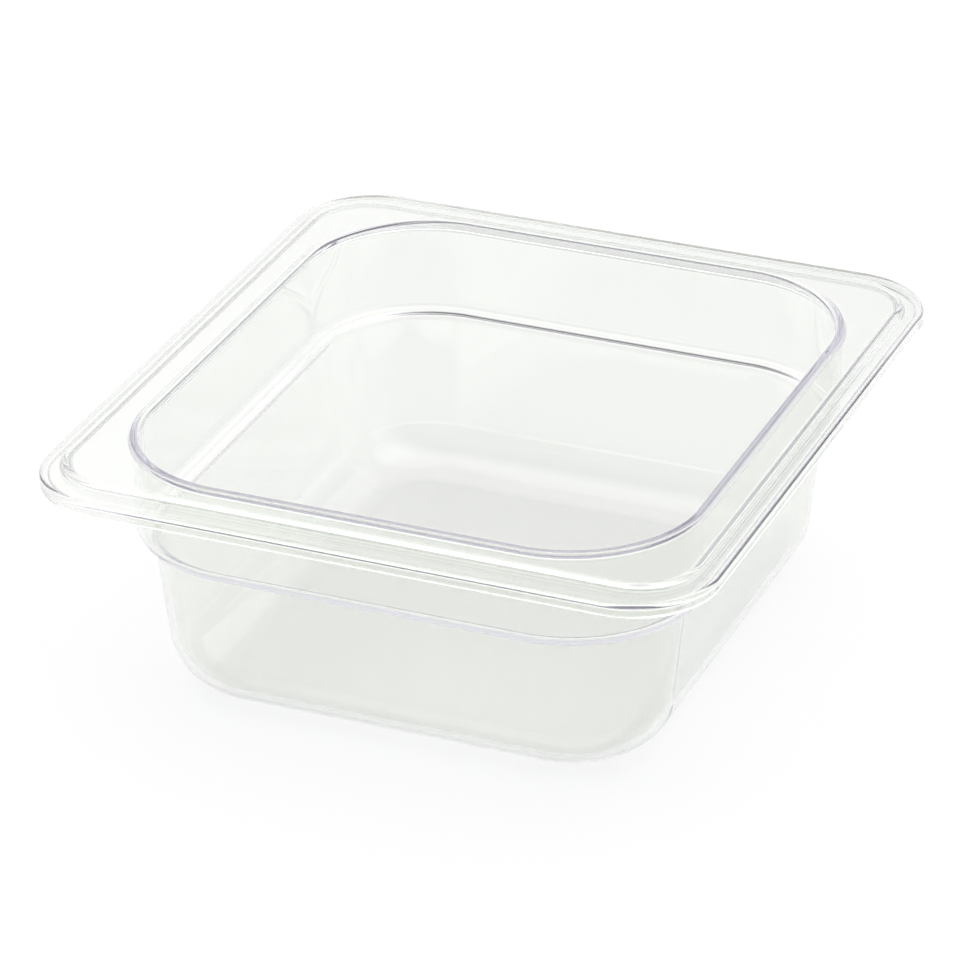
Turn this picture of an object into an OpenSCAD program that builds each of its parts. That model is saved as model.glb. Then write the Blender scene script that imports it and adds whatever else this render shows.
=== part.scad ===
// Sixth-size food pan in clear polycarbonate, 2 1/2 inch deep.
// One injection-moulded shell: a lip with a turned-down edge, a step up to a flat land,
// a bead around the opening, a straight collar, a stacking shoulder, tapered walls and
// a rounded floor.
// Origin: centre of the underside of the base. +Z up. +Y along the longer side. Millimetres.
// "Inset" is a distance inwards from the outer edge of the rim, seen from above.

/* [Outside] */
// Length over the rim, along Y
rim_length = 176; // [160:1:200]
// Width over the rim, along X
rim_width = 162; // [150:1:190]
// Height from the base to the top of the bead
pan_height = 63.5; // [58:0.5:80]
// Thickness of the shell
wall = 1.8; // [1.5:0.1:2]

/* [Rim] */
// Corner radius of the rim's outer edge
rim_corner = 20; // [17:0.5:24]
// Radius along the top of the outer edge
edge_radius = 1; // [0.5:0.1:1.2]
// Depth of the turned-down edge below the lip
skirt_drop = 1.5; // [1.1:0.1:4]
// Width of the turned-down edge
skirt_width = 2; // [1.6:0.1:2.4]
// Rise from the lip to the land
rim_step = 1.6; // [1.2:0.1:1.8]
// Width of the step's slope
step_run = 1.9; // [1.7:0.1:2.1]
// Inset of the land's edge along the two long sides
land_inset_x = 5.5; // [5.4:0.1:6.4]
// Inset of the land's edge along the two short sides
land_inset_y = 7.9; // [6:0.1:8.4]
// Corner radius of the land's edge
land_corner = 13.7; // [11:0.1:16]
// Inset of the bead's outer foot
bead_inset = 12.3; // [12:0.1:12.5]
// Height of the bead above the land
bead_height = 0.6; // [0.4:0.1:0.8]

/* [Walls] */
// Inset of the corner centres that all the walls share
corner_inset = 44; // [42:0.5:48]
// Inset of the collar's outer face at the land
collar_inset = 12.6; // [12.5:0.1:13]
// Draft of the collar, in degrees
collar_draft = 0.8; // [0.5:0.1:1.5]
// Height of the collar's lower edge, where the shoulder begins
shoulder_z = 41.8; // [36:0.2:45]
// Inset of the tapered wall, carried down to the base plane
base_inset = 20.9; // [20.2:0.1:22.5]
// Draft of the tapered wall, in degrees
wall_draft = 6.3; // [5:0.1:6.6]
// Outer radius between the tapered wall and the base
base_radius = 14.4; // [8:0.2:16]

/* [Hidden] */
$fn = 96;
ARC_STEPS = 8;
CLEAR_PLASTIC = [0.88, 0.91, 0.89, 0.35];

// Radii of the small bends
skirt_round = 0.4;
skirt_fillet = 0.5;
flange_fillet = 1;
shoulder_radius = 3;
foot_radius = 0.7;

// Parts that meet run this far into each other
overlap = 0.4;

land_z = pan_height - bead_height;
land_under_z = land_z - wall;
lip_z = land_z - rim_step;
lip_under_z = lip_z - wall;
skirt_z = lip_under_z - skirt_drop;

// Points on an arc about a centre, from angle a0 to angle a1
function arc(centre, r, a0, a1) =
    [for (i = [0:ARC_STEPS]) centre + r * [cos(a0 + (a1 - a0) * i / ARC_STEPS),
                                           sin(a0 + (a1 - a0) * i / ARC_STEPS)]];

// Inset of the collar's outer face and of the tapered wall's outer face at a height
function collar_at(z) = collar_inset + (land_z - z) * tan(collar_draft);
function taper_at(z) = base_inset - z * tan(wall_draft);

// Section of the outer edge: rounded above, turned down, filleted back to the lip's underside
edge_section = concat(
    arc([edge_radius, lip_z - edge_radius], edge_radius, 90, 180),
    arc([skirt_round, skirt_z + skirt_round], skirt_round, 180, 270),
    arc([skirt_width - skirt_round, skirt_z + skirt_round], skirt_round, 270, 360),
    arc([skirt_width + skirt_fillet, lip_under_z - skirt_fillet], skirt_fillet, 180, 90),
    [[skirt_width + skirt_fillet, lip_z]]);

// Section of the step, measured from the land's edge: two bends above that meet at the
// slope, and the same pair below, moved inwards to leave an even wall
step_angle = 2 * atan(rim_step / step_run);
bend_sum = step_run / sin(step_angle);
outer_bend = 0.6 * bend_sum;
inner_bend = bend_sum - outer_bend;
slope = bend_sum * [-sin(step_angle), cos(step_angle)];
step_shift = 0.78 * wall;
upper_edge = [0, land_z - outer_bend];
under_edge = [step_shift, land_under_z - inner_bend];

step_section = concat(
    [[step_shift + overlap, land_z]],
    arc(upper_edge, outer_bend, 90, 90 + step_angle),
    arc(upper_edge + slope, inner_bend, 270 + step_angle, 270),
    [[-step_run - overlap, lip_z], [-step_run - overlap, lip_under_z]],
    arc(under_edge + slope, outer_bend, 270, 270 + step_angle),
    arc(under_edge, inner_bend, 90 + step_angle, 90),
    [[step_shift + overlap, land_under_z]]);

// Outlines of the wall, outside from the land down to the base and inside back up
fillet_z = land_under_z - flange_fillet;
fillet_centre = [collar_at(fillet_z) - flange_fillet / cos(collar_draft), fillet_z];
shoulder_top = [collar_at(shoulder_z) + shoulder_radius / cos(collar_draft), shoulder_z];
foot_z = shoulder_z - shoulder_radius - foot_radius;
shoulder_foot = [taper_at(foot_z) - foot_radius / cos(wall_draft), foot_z];
base_centre = [taper_at(base_radius) + base_radius / cos(wall_draft), base_radius];
bead_round = wall / 2;
bead_inner = [collar_at(land_z) + wall / cos(collar_draft) - bead_round,
              pan_height - bead_round];

wall_section = concat(
    [[fillet_centre[0], land_z - wall / 2]],
    arc(fillet_centre, flange_fillet, 90, collar_draft),
    arc(shoulder_top, shoulder_radius, 180 + collar_draft, 270),
    arc(shoulder_foot, foot_radius, 90, wall_draft),
    arc(base_centre, base_radius, 180 + wall_draft, 270),
    [[base_centre[0] + overlap, 0], [base_centre[0] + overlap, wall]],
    arc(base_centre, base_radius - wall, 270, 180 + wall_draft),
    arc(shoulder_foot, foot_radius + wall, wall_draft, 90),
    arc(shoulder_top, shoulder_radius - wall, 270, 180 + collar_draft),
    arc(bead_inner, bead_round, 0, 90),
    arc([bead_inset + bead_height, land_z], bead_height, 90, 180),
    [[bead_inset, land_z - wall / 2]]);

// Rounded rectangle at an inset [x, y] from the rim's edge
module outline(inset, radius) {
    half = [rim_width / 2 - inset[0], rim_length / 2 - inset[1]];
    for (x = [-1, 1], y = [-1, 1])
        translate([x * (half[0] - radius), y * (half[1] - radius)]) circle(radius);
    square([2 * half[0], 2 * (half[1] - radius)], center = true);
    square([2 * (half[0] - radius), 2 * half[1]], center = true);
}

// Sweeps a section, given as [distance inwards, z] points, all round the outline that lies
// at an inset [x, y] and has this corner radius
module swept(section, inset, radius) {
    profile = [for (p = section) [radius - p[0], p[1]]];
    half_x = rim_width / 2 - inset[0] - radius;
    half_y = rim_length / 2 - inset[1] - radius;
    for (turn = [0:3]) {
        along = turn % 2 == 0 ? half_y : half_x;
        across = turn % 2 == 0 ? half_x : half_y;
        rotate(90 * turn) translate([across, along, 0]) {
            rotate_extrude(angle = 90) polygon(profile);
            rotate([90, 0, 0]) linear_extrude(2 * along) polygon(profile);
        }
    }
}

land_edge = [land_inset_x, land_inset_y];

module lip() {
    inner = step_run + overlap / 2;
    translate([0, 0, lip_under_z]) linear_extrude(wall) difference() {
        outline([skirt_width, skirt_width], rim_corner - skirt_width);
        outline(land_edge - [inner, inner], land_corner + inner);
    }
}

module land() {
    inside_wall = bead_inset + wall / 2;
    translate([0, 0, land_under_z]) linear_extrude(wall) difference() {
        outline(land_edge + [step_shift, step_shift], land_corner - step_shift);
        outline([inside_wall, inside_wall], corner_inset - inside_wall);
    }
}

module floor_plate() {
    linear_extrude(wall)
        outline([base_centre[0], base_centre[0]], corner_inset - base_centre[0]);
}

module pan() {
    color(CLEAR_PLASTIC) union() {
        swept(edge_section, [0, 0], rim_corner);
        lip();
        swept(step_section, land_edge, land_corner);
        land();
        swept(wall_section, [0, 0], corner_inset);
        floor_plate();
    }
}

pan();
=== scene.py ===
"""Sixth-size food pan in clear polycarbonate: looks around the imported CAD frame."""

from math import atan, cos, pi, radians, sin, tan

import bmesh
import bpy
from mathutils import Matrix, Vector


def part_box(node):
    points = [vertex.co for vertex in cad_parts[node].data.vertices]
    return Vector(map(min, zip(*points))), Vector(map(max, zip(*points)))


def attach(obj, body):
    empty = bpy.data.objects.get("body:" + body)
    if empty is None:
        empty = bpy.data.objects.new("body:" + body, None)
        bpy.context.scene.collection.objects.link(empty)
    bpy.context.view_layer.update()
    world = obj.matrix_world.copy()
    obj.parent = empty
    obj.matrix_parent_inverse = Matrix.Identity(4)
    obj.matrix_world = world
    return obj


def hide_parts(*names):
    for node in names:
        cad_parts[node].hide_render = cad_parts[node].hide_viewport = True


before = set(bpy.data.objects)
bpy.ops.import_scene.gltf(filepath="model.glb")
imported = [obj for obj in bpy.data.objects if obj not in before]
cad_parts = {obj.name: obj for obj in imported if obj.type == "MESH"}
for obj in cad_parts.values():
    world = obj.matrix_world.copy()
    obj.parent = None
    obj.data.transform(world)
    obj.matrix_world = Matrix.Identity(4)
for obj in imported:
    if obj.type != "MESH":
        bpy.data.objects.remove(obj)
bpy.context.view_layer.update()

MM = 0.001


# ---------------------------------------------------------------- camera

CAMERA_AZIMUTH = radians(23.02)
CAMERA_ELEVATION = radians(27.82)
CAMERA_ROLL = radians(-0.77)
CAMERA_DISTANCE = 1190.8 * MM
CAMERA_TARGET = Vector((-3.88, 0.0, 35.25)) * MM
CAMERA_LENS = 190.46
SENSOR_WIDTH = 36.0


def add_camera():
    """The photograph's view: a long lens from the near right, a little above the pan."""
    a, e = CAMERA_AZIMUTH, CAMERA_ELEVATION
    back = Vector((sin(a) * cos(e), -cos(a) * cos(e), sin(e)))
    level = Vector((cos(a), sin(a), 0.0))
    above = back.cross(level)
    right = level * cos(CAMERA_ROLL) + above * sin(CAMERA_ROLL)
    up = above * cos(CAMERA_ROLL) - level * sin(CAMERA_ROLL)
    data = bpy.data.cameras.new("camera")
    data.lens = CAMERA_LENS
    data.sensor_width = SENSOR_WIDTH
    data.dof.use_dof = False
    camera = bpy.data.objects.new("camera", data)
    camera.matrix_world = Matrix.Translation(CAMERA_TARGET + back * CAMERA_DISTANCE) @ Matrix(
        (right, up, back)).transposed().to_4x4()
    bpy.context.scene.collection.objects.link(camera)
    bpy.context.scene.camera = camera


# ---------------------------------------------------------------- the pan's section

# Sizes in millimetres, as in the CAD. "Inset" is a distance inwards from the rim's outer edge.
WALL = 1.8
EDGE_RADIUS = 1.0
SKIRT_DROP = 1.5
SKIRT_WIDTH = 2.0
SKIRT_ROUND = 0.4
SKIRT_FILLET = 0.5
RIM_STEP = 1.6
STEP_RUN = 1.9
BEAD_INSET = 12.3
BEAD_HEIGHT = 0.6
FLANGE_FILLET = 1.0
COLLAR_INSET = 12.6
COLLAR_DRAFT = radians(0.8)
SHOULDER_Z = 41.8
SHOULDER_RADIUS = 3.0
FOOT_RADIUS = 0.7
BASE_INSET = 20.9
WALL_DRAFT = radians(6.3)
BASE_RADIUS = 14.4

# Outlines that the section follows: inset along X, inset along Y, corner radius
RIM_EDGE = (0.0, 0.0, 20.0)
LAND_EDGE = (5.5, 7.9, 13.7)
WALL_CORNERS = (0.0, 0.0, 44.0)

# The step's two bends above, and how far the pair below is moved inwards to keep the wall even
OUTER_SHARE = 0.6
STEP_SHIFT = 0.78 * WALL

# Directions in the section, from a bend's centre, and how finely bends and corners are cut
UP, OUT, DOWN, IN = pi / 2, pi, 3 * pi / 2, 2 * pi
ARC_STEP = radians(7.5)
FEWEST_STEPS = 4
STEPS_GROW_BY = 8.0
CORNER_STEPS = 40


def arc(centre, radius, start, end, side, outline):
    """Points of a bend as (distance inwards, z, normal inwards, normal z, outline).

    side is 1 where the plastic lies inside the circle and -1 where it lies outside."""
    steps = max(FEWEST_STEPS, round(abs(end - start) / ARC_STEP * (1 + radius / STEPS_GROW_BY)))
    points = []
    for i in range(steps + 1):
        angle = start + (end - start) * i / steps
        c, s = cos(angle), sin(angle)
        points.append((centre[0] + radius * c, centre[1] + radius * s, side * c, side * s, outline))
    return points


def pan_section(height):
    """Two runs of section points: from the land's edge over the rim and down outside to the
    base, and from the floor up inside and over the bead, back to the land."""
    land_z = height - BEAD_HEIGHT
    land_under_z = land_z - WALL
    lip_z = land_z - RIM_STEP
    lip_under_z = lip_z - WALL
    skirt_z = lip_under_z - SKIRT_DROP

    def collar_at(z):
        return COLLAR_INSET + (land_z - z) * tan(COLLAR_DRAFT)

    def taper_at(z):
        return BASE_INSET - z * tan(WALL_DRAFT)

    step_angle = 2 * atan(RIM_STEP / STEP_RUN)
    bend_sum = STEP_RUN / sin(step_angle)
    outer_bend = OUTER_SHARE * bend_sum
    inner_bend = bend_sum - outer_bend
    slope = Vector((-sin(step_angle), cos(step_angle))) * bend_sum
    upper_edge = Vector((0.0, land_z - outer_bend))
    under_edge = Vector((STEP_SHIFT, land_under_z - inner_bend))
    fillet_z = land_under_z - FLANGE_FILLET
    fillet = (collar_at(fillet_z) - FLANGE_FILLET / cos(COLLAR_DRAFT), fillet_z)
    shoulder_top = (collar_at(SHOULDER_Z) + SHOULDER_RADIUS / cos(COLLAR_DRAFT), SHOULDER_Z)
    foot_z = SHOULDER_Z - SHOULDER_RADIUS - FOOT_RADIUS
    shoulder_foot = (taper_at(foot_z) - FOOT_RADIUS / cos(WALL_DRAFT), foot_z)
    base = (taper_at(BASE_RADIUS) + BASE_RADIUS / cos(WALL_DRAFT), BASE_RADIUS)
    half = WALL / 2
    bead_inner = (collar_at(land_z) + WALL / cos(COLLAR_DRAFT) - half, height - half)
    bead_outer = (BEAD_INSET + BEAD_HEIGHT, land_z)
    skirt_outer = (SKIRT_ROUND, skirt_z + SKIRT_ROUND)
    skirt_inner = (SKIRT_WIDTH - SKIRT_ROUND, skirt_z + SKIRT_ROUND)
    skirt_foot = (SKIRT_WIDTH + SKIRT_FILLET, lip_under_z - SKIRT_FILLET)

    outside = (
        arc(upper_edge, outer_bend, UP, UP + step_angle, 1, LAND_EDGE)
        + arc(upper_edge + slope, inner_bend, DOWN + step_angle, DOWN, -1, LAND_EDGE)
        + arc((EDGE_RADIUS, lip_z - EDGE_RADIUS), EDGE_RADIUS, UP, OUT, 1, RIM_EDGE)
        + arc(skirt_outer, SKIRT_ROUND, OUT, DOWN, 1, RIM_EDGE)
        + arc(skirt_inner, SKIRT_ROUND, DOWN, IN, 1, RIM_EDGE)
        + arc(skirt_foot, SKIRT_FILLET, OUT, UP, -1, RIM_EDGE)
        + arc(under_edge + slope, outer_bend, DOWN, DOWN + step_angle, 1, LAND_EDGE)
        + arc(under_edge, inner_bend, UP + step_angle, UP, -1, LAND_EDGE)
        + arc(fillet, FLANGE_FILLET, UP, COLLAR_DRAFT, -1, WALL_CORNERS)
        + arc(shoulder_top, SHOULDER_RADIUS, OUT + COLLAR_DRAFT, DOWN, 1, WALL_CORNERS)
        + arc(shoulder_foot, FOOT_RADIUS, UP, WALL_DRAFT, -1, WALL_CORNERS)
        + arc(base, BASE_RADIUS, OUT + WALL_DRAFT, DOWN, 1, WALL_CORNERS))
    inside = (
        arc(base, BASE_RADIUS - WALL, DOWN, OUT + WALL_DRAFT, -1, WALL_CORNERS)
        + arc(shoulder_foot, FOOT_RADIUS + WALL, WALL_DRAFT, UP, 1, WALL_CORNERS)
        + arc(shoulder_top, SHOULDER_RADIUS - WALL, DOWN, OUT + COLLAR_DRAFT, -1, WALL_CORNERS)
        + arc(bead_inner, half, 0.0, UP, 1, WALL_CORNERS)
        + arc(bead_outer, BEAD_HEIGHT, UP, OUT, 1, WALL_CORNERS))
    return outside, inside


def ring(point, half_x, half_y):
    """Places and normals all round one outline of the pan, in metres."""
    inwards, z, normal_in, normal_z, (inset_x, inset_y, corner) = point
    radius = corner - inwards
    centre_x, centre_y = half_x - inset_x - corner, half_y - inset_y - corner
    places, normals = [], []
    for quarter, (sx, sy) in enumerate(((1, 1), (-1, 1), (-1, -1), (1, -1))):
        for i in range(CORNER_STEPS + 1):
            angle = pi / 2 * (quarter + i / CORNER_STEPS)
            c, s = cos(angle), sin(angle)
            places.append(Vector((sx * centre_x + radius * c, sy * centre_y + radius * s, z)) * MM)
            normals.append((-normal_in * c, -normal_in * s, normal_z))
    return places, normals


def build_pan():
    """The shell as one closed mesh, ring by ring, with the section's exact normals."""
    low, high = (Vector(corner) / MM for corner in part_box("pan"))
    half_x, half_y, height = (high.x - low.x) / 2, (high.y - low.y) / 2, high.z - low.z
    outside, inside = pan_section(height)

    bm = bmesh.new()
    face_normals = []

    def lay(point):
        places, normals = ring(point, half_x, half_y)
        return [bm.verts.new(p) for p in places], normals

    def join(a, b, normals_a, normals_b):
        count = len(a)
        for i in range(count):
            j = (i + 1) % count
            bm.faces.new((a[i], b[i], b[j], a[j]))
            face_normals.extend((normals_a[i], normals_b[i], normals_b[j], normals_a[j]))

    outer = [lay(p) for p in outside]
    inner = [lay(p) for p in inside]
    for rings in (outer, inner):
        for (a, na), (b, nb) in zip(rings, rings[1:]):
            join(a, b, na, nb)
    up = [(0.0, 0.0, 1.0)] * len(outer[0][0])
    join(inner[-1][0], outer[0][0], up, up)
    bm.faces.new(outer[-1][0][::-1])
    face_normals.extend([(0.0, 0.0, -1.0)] * len(up))
    bm.faces.new(inner[0][0])
    face_normals.extend(up)

    for face in bm.faces:
        face.smooth = True
    mesh = bpy.data.meshes.new("pan_shell")
    bm.to_mesh(mesh)
    bm.free()
    mesh.normals_split_custom_set(face_normals)
    pan = bpy.data.objects.new("pan_shell", mesh)
    bpy.context.scene.collection.objects.link(pan)
    return pan


# ---------------------------------------------------------------- materials

# Reflections and bounces that the renderer follows inside the wall
MOST_REFLECTIONS = 4
MOST_BOUNCES = 10
# Part of a noise texture's output that is used
NOISE_RANGE = (0.3, 0.7)


def node(tree, kind, **settings):
    """A shader node, with properties and plain input values set by name."""
    made = tree.nodes.new(kind)
    for name, value in settings.items():
        if name in made.inputs:
            made.inputs[name].default_value = value
        else:
            setattr(made, name, value)
    return made


def wave(tree, place, scale, detail):
    """Noise over the object's own coordinates."""
    noise = node(tree, "ShaderNodeTexNoise", Scale=scale, Detail=detail)
    tree.links.new(place, noise.inputs["Vector"])
    return noise.outputs["Fac"]


def ramp(tree, value, start, end):
    """A value moved from one range to another and held at its ends."""
    remap = node(tree, "ShaderNodeMapRange")
    remap.inputs["From Min"].default_value, remap.inputs["From Max"].default_value = start
    remap.inputs["To Min"].default_value, remap.inputs["To Max"].default_value = end
    tree.links.new(value, remap.inputs["Value"])
    return remap.outputs["Result"]


def spread(tree, value, low, high):
    """A noise value moved to a range."""
    return ramp(tree, value, NOISE_RANGE, (low, high))


def put(tree, value, socket):
    """Sets a socket to a constant, or links it to another node's output."""
    if isinstance(value, (float, tuple)):
        socket.default_value = value
    else:
        tree.links.new(value, socket)


def combine(tree, operation, one, other):
    """One Math node on two values."""
    made = node(tree, "ShaderNodeMath", operation=operation)
    put(tree, one, made.inputs[0])
    put(tree, other, made.inputs[1])
    return made.outputs[0]


def greater(tree, one, other):
    return combine(tree, "MAXIMUM", one, other)


def above(tree, value, limit):
    return combine(tree, "GREATER_THAN", value, limit)


def passing(tree, factor, solid, colour):
    """A shader that, as far as factor says, lets light straight through with this colour."""
    clear = node(tree, "ShaderNodeBsdfTransparent")
    put(tree, colour, clear.inputs["Color"])
    choice = node(tree, "ShaderNodeMixShader")
    tree.links.new(factor, choice.inputs["Fac"])
    tree.links.new(solid, choice.inputs[1])
    tree.links.new(clear.outputs["BSDF"], choice.inputs[2])
    return choice.outputs["Shader"]


def mix(tree, factor, low, high):
    """A blend of two colours: low where the factor is 0, high where it is 1."""
    blend = node(tree, "ShaderNodeMix", data_type="RGBA")
    tree.links.new(factor, blend.inputs["Factor"])
    put(tree, low, blend.inputs["A"])
    put(tree, high, blend.inputs["B"])
    return blend.outputs["Result"]


# Heights, in metres, over which the base's tint (painted shade) and haze fade out, and over which
# the painted shade of the rim's edge comes in at its top and goes again at its foot
BASE_FADE = ((WALL + 0.5) * MM, (WALL + 5.0) * MM)
EDGE_SHADE_TOP_FADE = (61.1 * MM, 60.7 * MM)
EDGE_SHADE_FOOT_FADE = (57.4 * MM, 57.0 * MM)

# Roughness of the base and of the moulded faces, and depth of the surface's waves
BASE_HAZE = 0.22
MOULD_HAZE = 0.03
WAVINESS = 0.005 * MM
POLYCARBONATE_IOR = 1.585
WALL_TINTS = (0.925, 0.941, 0.909, 1.0), (0.938, 0.952, 0.922, 1.0)
# The base's tint is darker than the walls' tint. This is painted shade: the floor under the pan,
# seen through the base.
BASE_TINT_AND_PAINTED_SHADE = (0.855, 0.863, 0.842, 1.0)
SHADE_TINT = (0.975, 0.977, 0.973, 1.0)
VIOLET = (0.5, 0.47, 0.74, 1.0)
VIOLET_DENSITY = 6.0
TRAPPED = (0.86, 0.85, 0.88, 1.0)
# The much darker colour for light leaving through the rim's edge is painted shade.
PAINTED_EDGE_SHADE = (0.4, 0.39, 0.42, 1.0)


def clear_plastic():
    """Moulded polycarbonate: a trace of green-grey on its faces, violet where light runs along
    the wall, and the faint waviness and haze of a moulded surface."""
    material = bpy.data.materials.new("clear_polycarbonate")
    material.use_nodes = True
    tree = material.node_tree
    tree.nodes.clear()
    link = tree.links.new
    place = node(tree, "ShaderNodeTexCoord").outputs["Object"]

    body = node(tree, "ShaderNodeBsdfPrincipled")
    body.inputs["Transmission Weight"].default_value = 1.0
    body.inputs["IOR"].default_value = POLYCARBONATE_IOR

    split = node(tree, "ShaderNodeSeparateXYZ")
    link(place, split.inputs[0])
    height = split.outputs["Z"]
    base = ramp(tree, height, BASE_FADE, (1.0, 0.0))
    wall_tint = mix(tree, spread(tree, wave(tree, place, 18.0, 2.0), 0.0, 1.0), *WALL_TINTS)
    # Low down, the tint darkens to the base's tint, which is painted shade. The base's haze is a
    # real rougher finish.
    link(mix(tree, base, wall_tint, BASE_TINT_AND_PAINTED_SHADE), body.inputs["Base Color"])
    haze = ramp(tree, base, (0.0, 1.0), (0.0, BASE_HAZE))
    link(greater(tree, haze, spread(tree, wave(tree, place, 45.0, 3.0), 0.0, MOULD_HAZE)),
         body.inputs["Roughness"])

    bump = node(tree, "ShaderNodeBump")
    bump.inputs["Strength"].default_value = 1.0
    bump.inputs["Distance"].default_value = WAVINESS
    link(wave(tree, place, 60.0, 1.0), bump.inputs["Height"])
    link(bump.outputs["Normal"], body.inputs["Normal"])

    # Light still inside after the most reflections that are followed leaves the wall dimmed. In a
    # band at the rim's edge it leaves much darker, as painted shade for the edge's dark line. Light
    # on its way to the floor goes straight through.
    path = node(tree, "ShaderNodeLightPath").outputs
    lost = greater(tree, above(tree, path["Glossy Depth"], MOST_REFLECTIONS - 0.5),
                   above(tree, path["Ray Depth"], MOST_BOUNCES - 0.5))
    escape_with_painted_edge_shade = mix(tree, ramp(tree, height, EDGE_SHADE_TOP_FADE, (0.0, 1.0)), TRAPPED, PAINTED_EDGE_SHADE)
    escape_with_painted_edge_shade = mix(tree, ramp(tree, height, EDGE_SHADE_FOOT_FADE, (0.0, 1.0)), escape_with_painted_edge_shade, TRAPPED)
    surface = passing(tree, lost, body.outputs["BSDF"], escape_with_painted_edge_shade)
    surface = passing(tree, greater(tree, path["Is Shadow Ray"], path["Is Diffuse Ray"]),
                      surface, SHADE_TINT)

    inner = node(tree, "ShaderNodeVolumeAbsorption")
    inner.inputs["Color"].default_value = VIOLET
    inner.inputs["Density"].default_value = VIOLET_DENSITY

    output = node(tree, "ShaderNodeOutputMaterial")
    link(surface, output.inputs["Surface"])
    link(inner.outputs["Volume"], output.inputs["Volume"])
    return material


def floor_white():
    material = bpy.data.materials.new("floor_white")
    material.use_nodes = True
    body = material.node_tree.nodes["Principled BSDF"]
    body.inputs["Base Color"].default_value = (0.93, 0.93, 0.93, 1.0)
    body.inputs["Roughness"].default_value = 0.9
    body.inputs["Specular IOR Level"].default_value = 0.0
    return material


# ---------------------------------------------------------------- stage

FLOOR_HALF = 4.0
FLOOR_BELOW = 0.05 * MM


def add_floor():
    bm = bmesh.new()
    corners = [bm.verts.new((sx * FLOOR_HALF, sy * FLOOR_HALF, 0.0))
               for sx, sy in ((-1, -1), (1, -1), (1, 1), (-1, 1))]
    bm.faces.new(corners)
    mesh = bpy.data.meshes.new("floor")
    bm.to_mesh(mesh)
    bm.free()
    floor = bpy.data.objects.new("floor", mesh)
    bpy.context.scene.collection.objects.link(floor)
    floor.data.materials.append(floor_white())
    floor.location.z = -FLOOR_BELOW


# The glow's direction (turn from +Y, rise) and the cosines of the angles where it fades in.
# Fades of the sky are over the view's z, and those of the dark front over its y.
GLOW_AIM = (radians(-30), radians(34))
GLOW_FADE = (cos(radians(13)), cos(radians(6)))
GLOW_STRENGTH = 0.4
SKY_FADE, SKY_STRENGTH = (0.5, 0.8), (0.86, 1.72)
FRONT_FADE, FRONT_SHARE = (-0.6, -0.2), (0.08, 1.0)


def add_world():
    """A white studio: brightest overhead, with a soft glow behind the pan to its left, and dark
    behind the camera."""
    world = bpy.data.worlds.new("studio")
    bpy.context.scene.world = world
    world.use_nodes = True
    tree = world.node_tree
    view = node(tree, "ShaderNodeTexCoord").outputs["Generated"]
    split = node(tree, "ShaderNodeSeparateXYZ")
    tree.links.new(view, split.inputs[0])
    turn, rise = GLOW_AIM
    aim = node(tree, "ShaderNodeVectorMath", operation="DOT_PRODUCT")
    aim.inputs[1].default_value = (sin(turn) * cos(rise), cos(turn) * cos(rise), sin(rise))
    tree.links.new(view, aim.inputs[0])
    overhead = ramp(tree, split.outputs["Z"], SKY_FADE, SKY_STRENGTH)
    glow = ramp(tree, aim.outputs["Value"], GLOW_FADE, (0.0, GLOW_STRENGTH))
    front = ramp(tree, split.outputs["Y"], FRONT_FADE, FRONT_SHARE)
    strength = combine(tree, "MULTIPLY", combine(tree, "ADD", overhead, glow), front)
    background = tree.nodes["Background"]
    background.inputs["Color"].default_value = (1.0, 1.0, 1.0, 1.0)
    tree.links.new(strength, background.inputs["Strength"])


# Metres. The panel's power is its radiance times pi times its area.
PANEL_WIDTH, PANEL_HEIGHT = 1.6, 0.85
PANEL_PLACE = (0.55, 1.5, 1.08)
PANEL_RADIANCE = 0.6


def add_panel():
    """A wide light panel that stands behind the pan to its right and shines over it."""
    data = bpy.data.lights.new("panel", "AREA")
    data.shape = "RECTANGLE"
    data.size, data.size_y = PANEL_WIDTH, PANEL_HEIGHT
    data.energy = PANEL_RADIANCE * pi * PANEL_WIDTH * PANEL_HEIGHT
    panel = bpy.data.objects.new("panel", data)
    panel.location = PANEL_PLACE
    panel.rotation_euler = (radians(-90), 0.0, 0.0)
    bpy.context.scene.collection.objects.link(panel)


add_camera()
add_floor()
add_world()
add_panel()
bpy.context.scene.view_settings.view_transform = "Standard"

pan = build_pan()
pan.data.materials.append(clear_plastic())
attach(pan, "root")
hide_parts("pan")
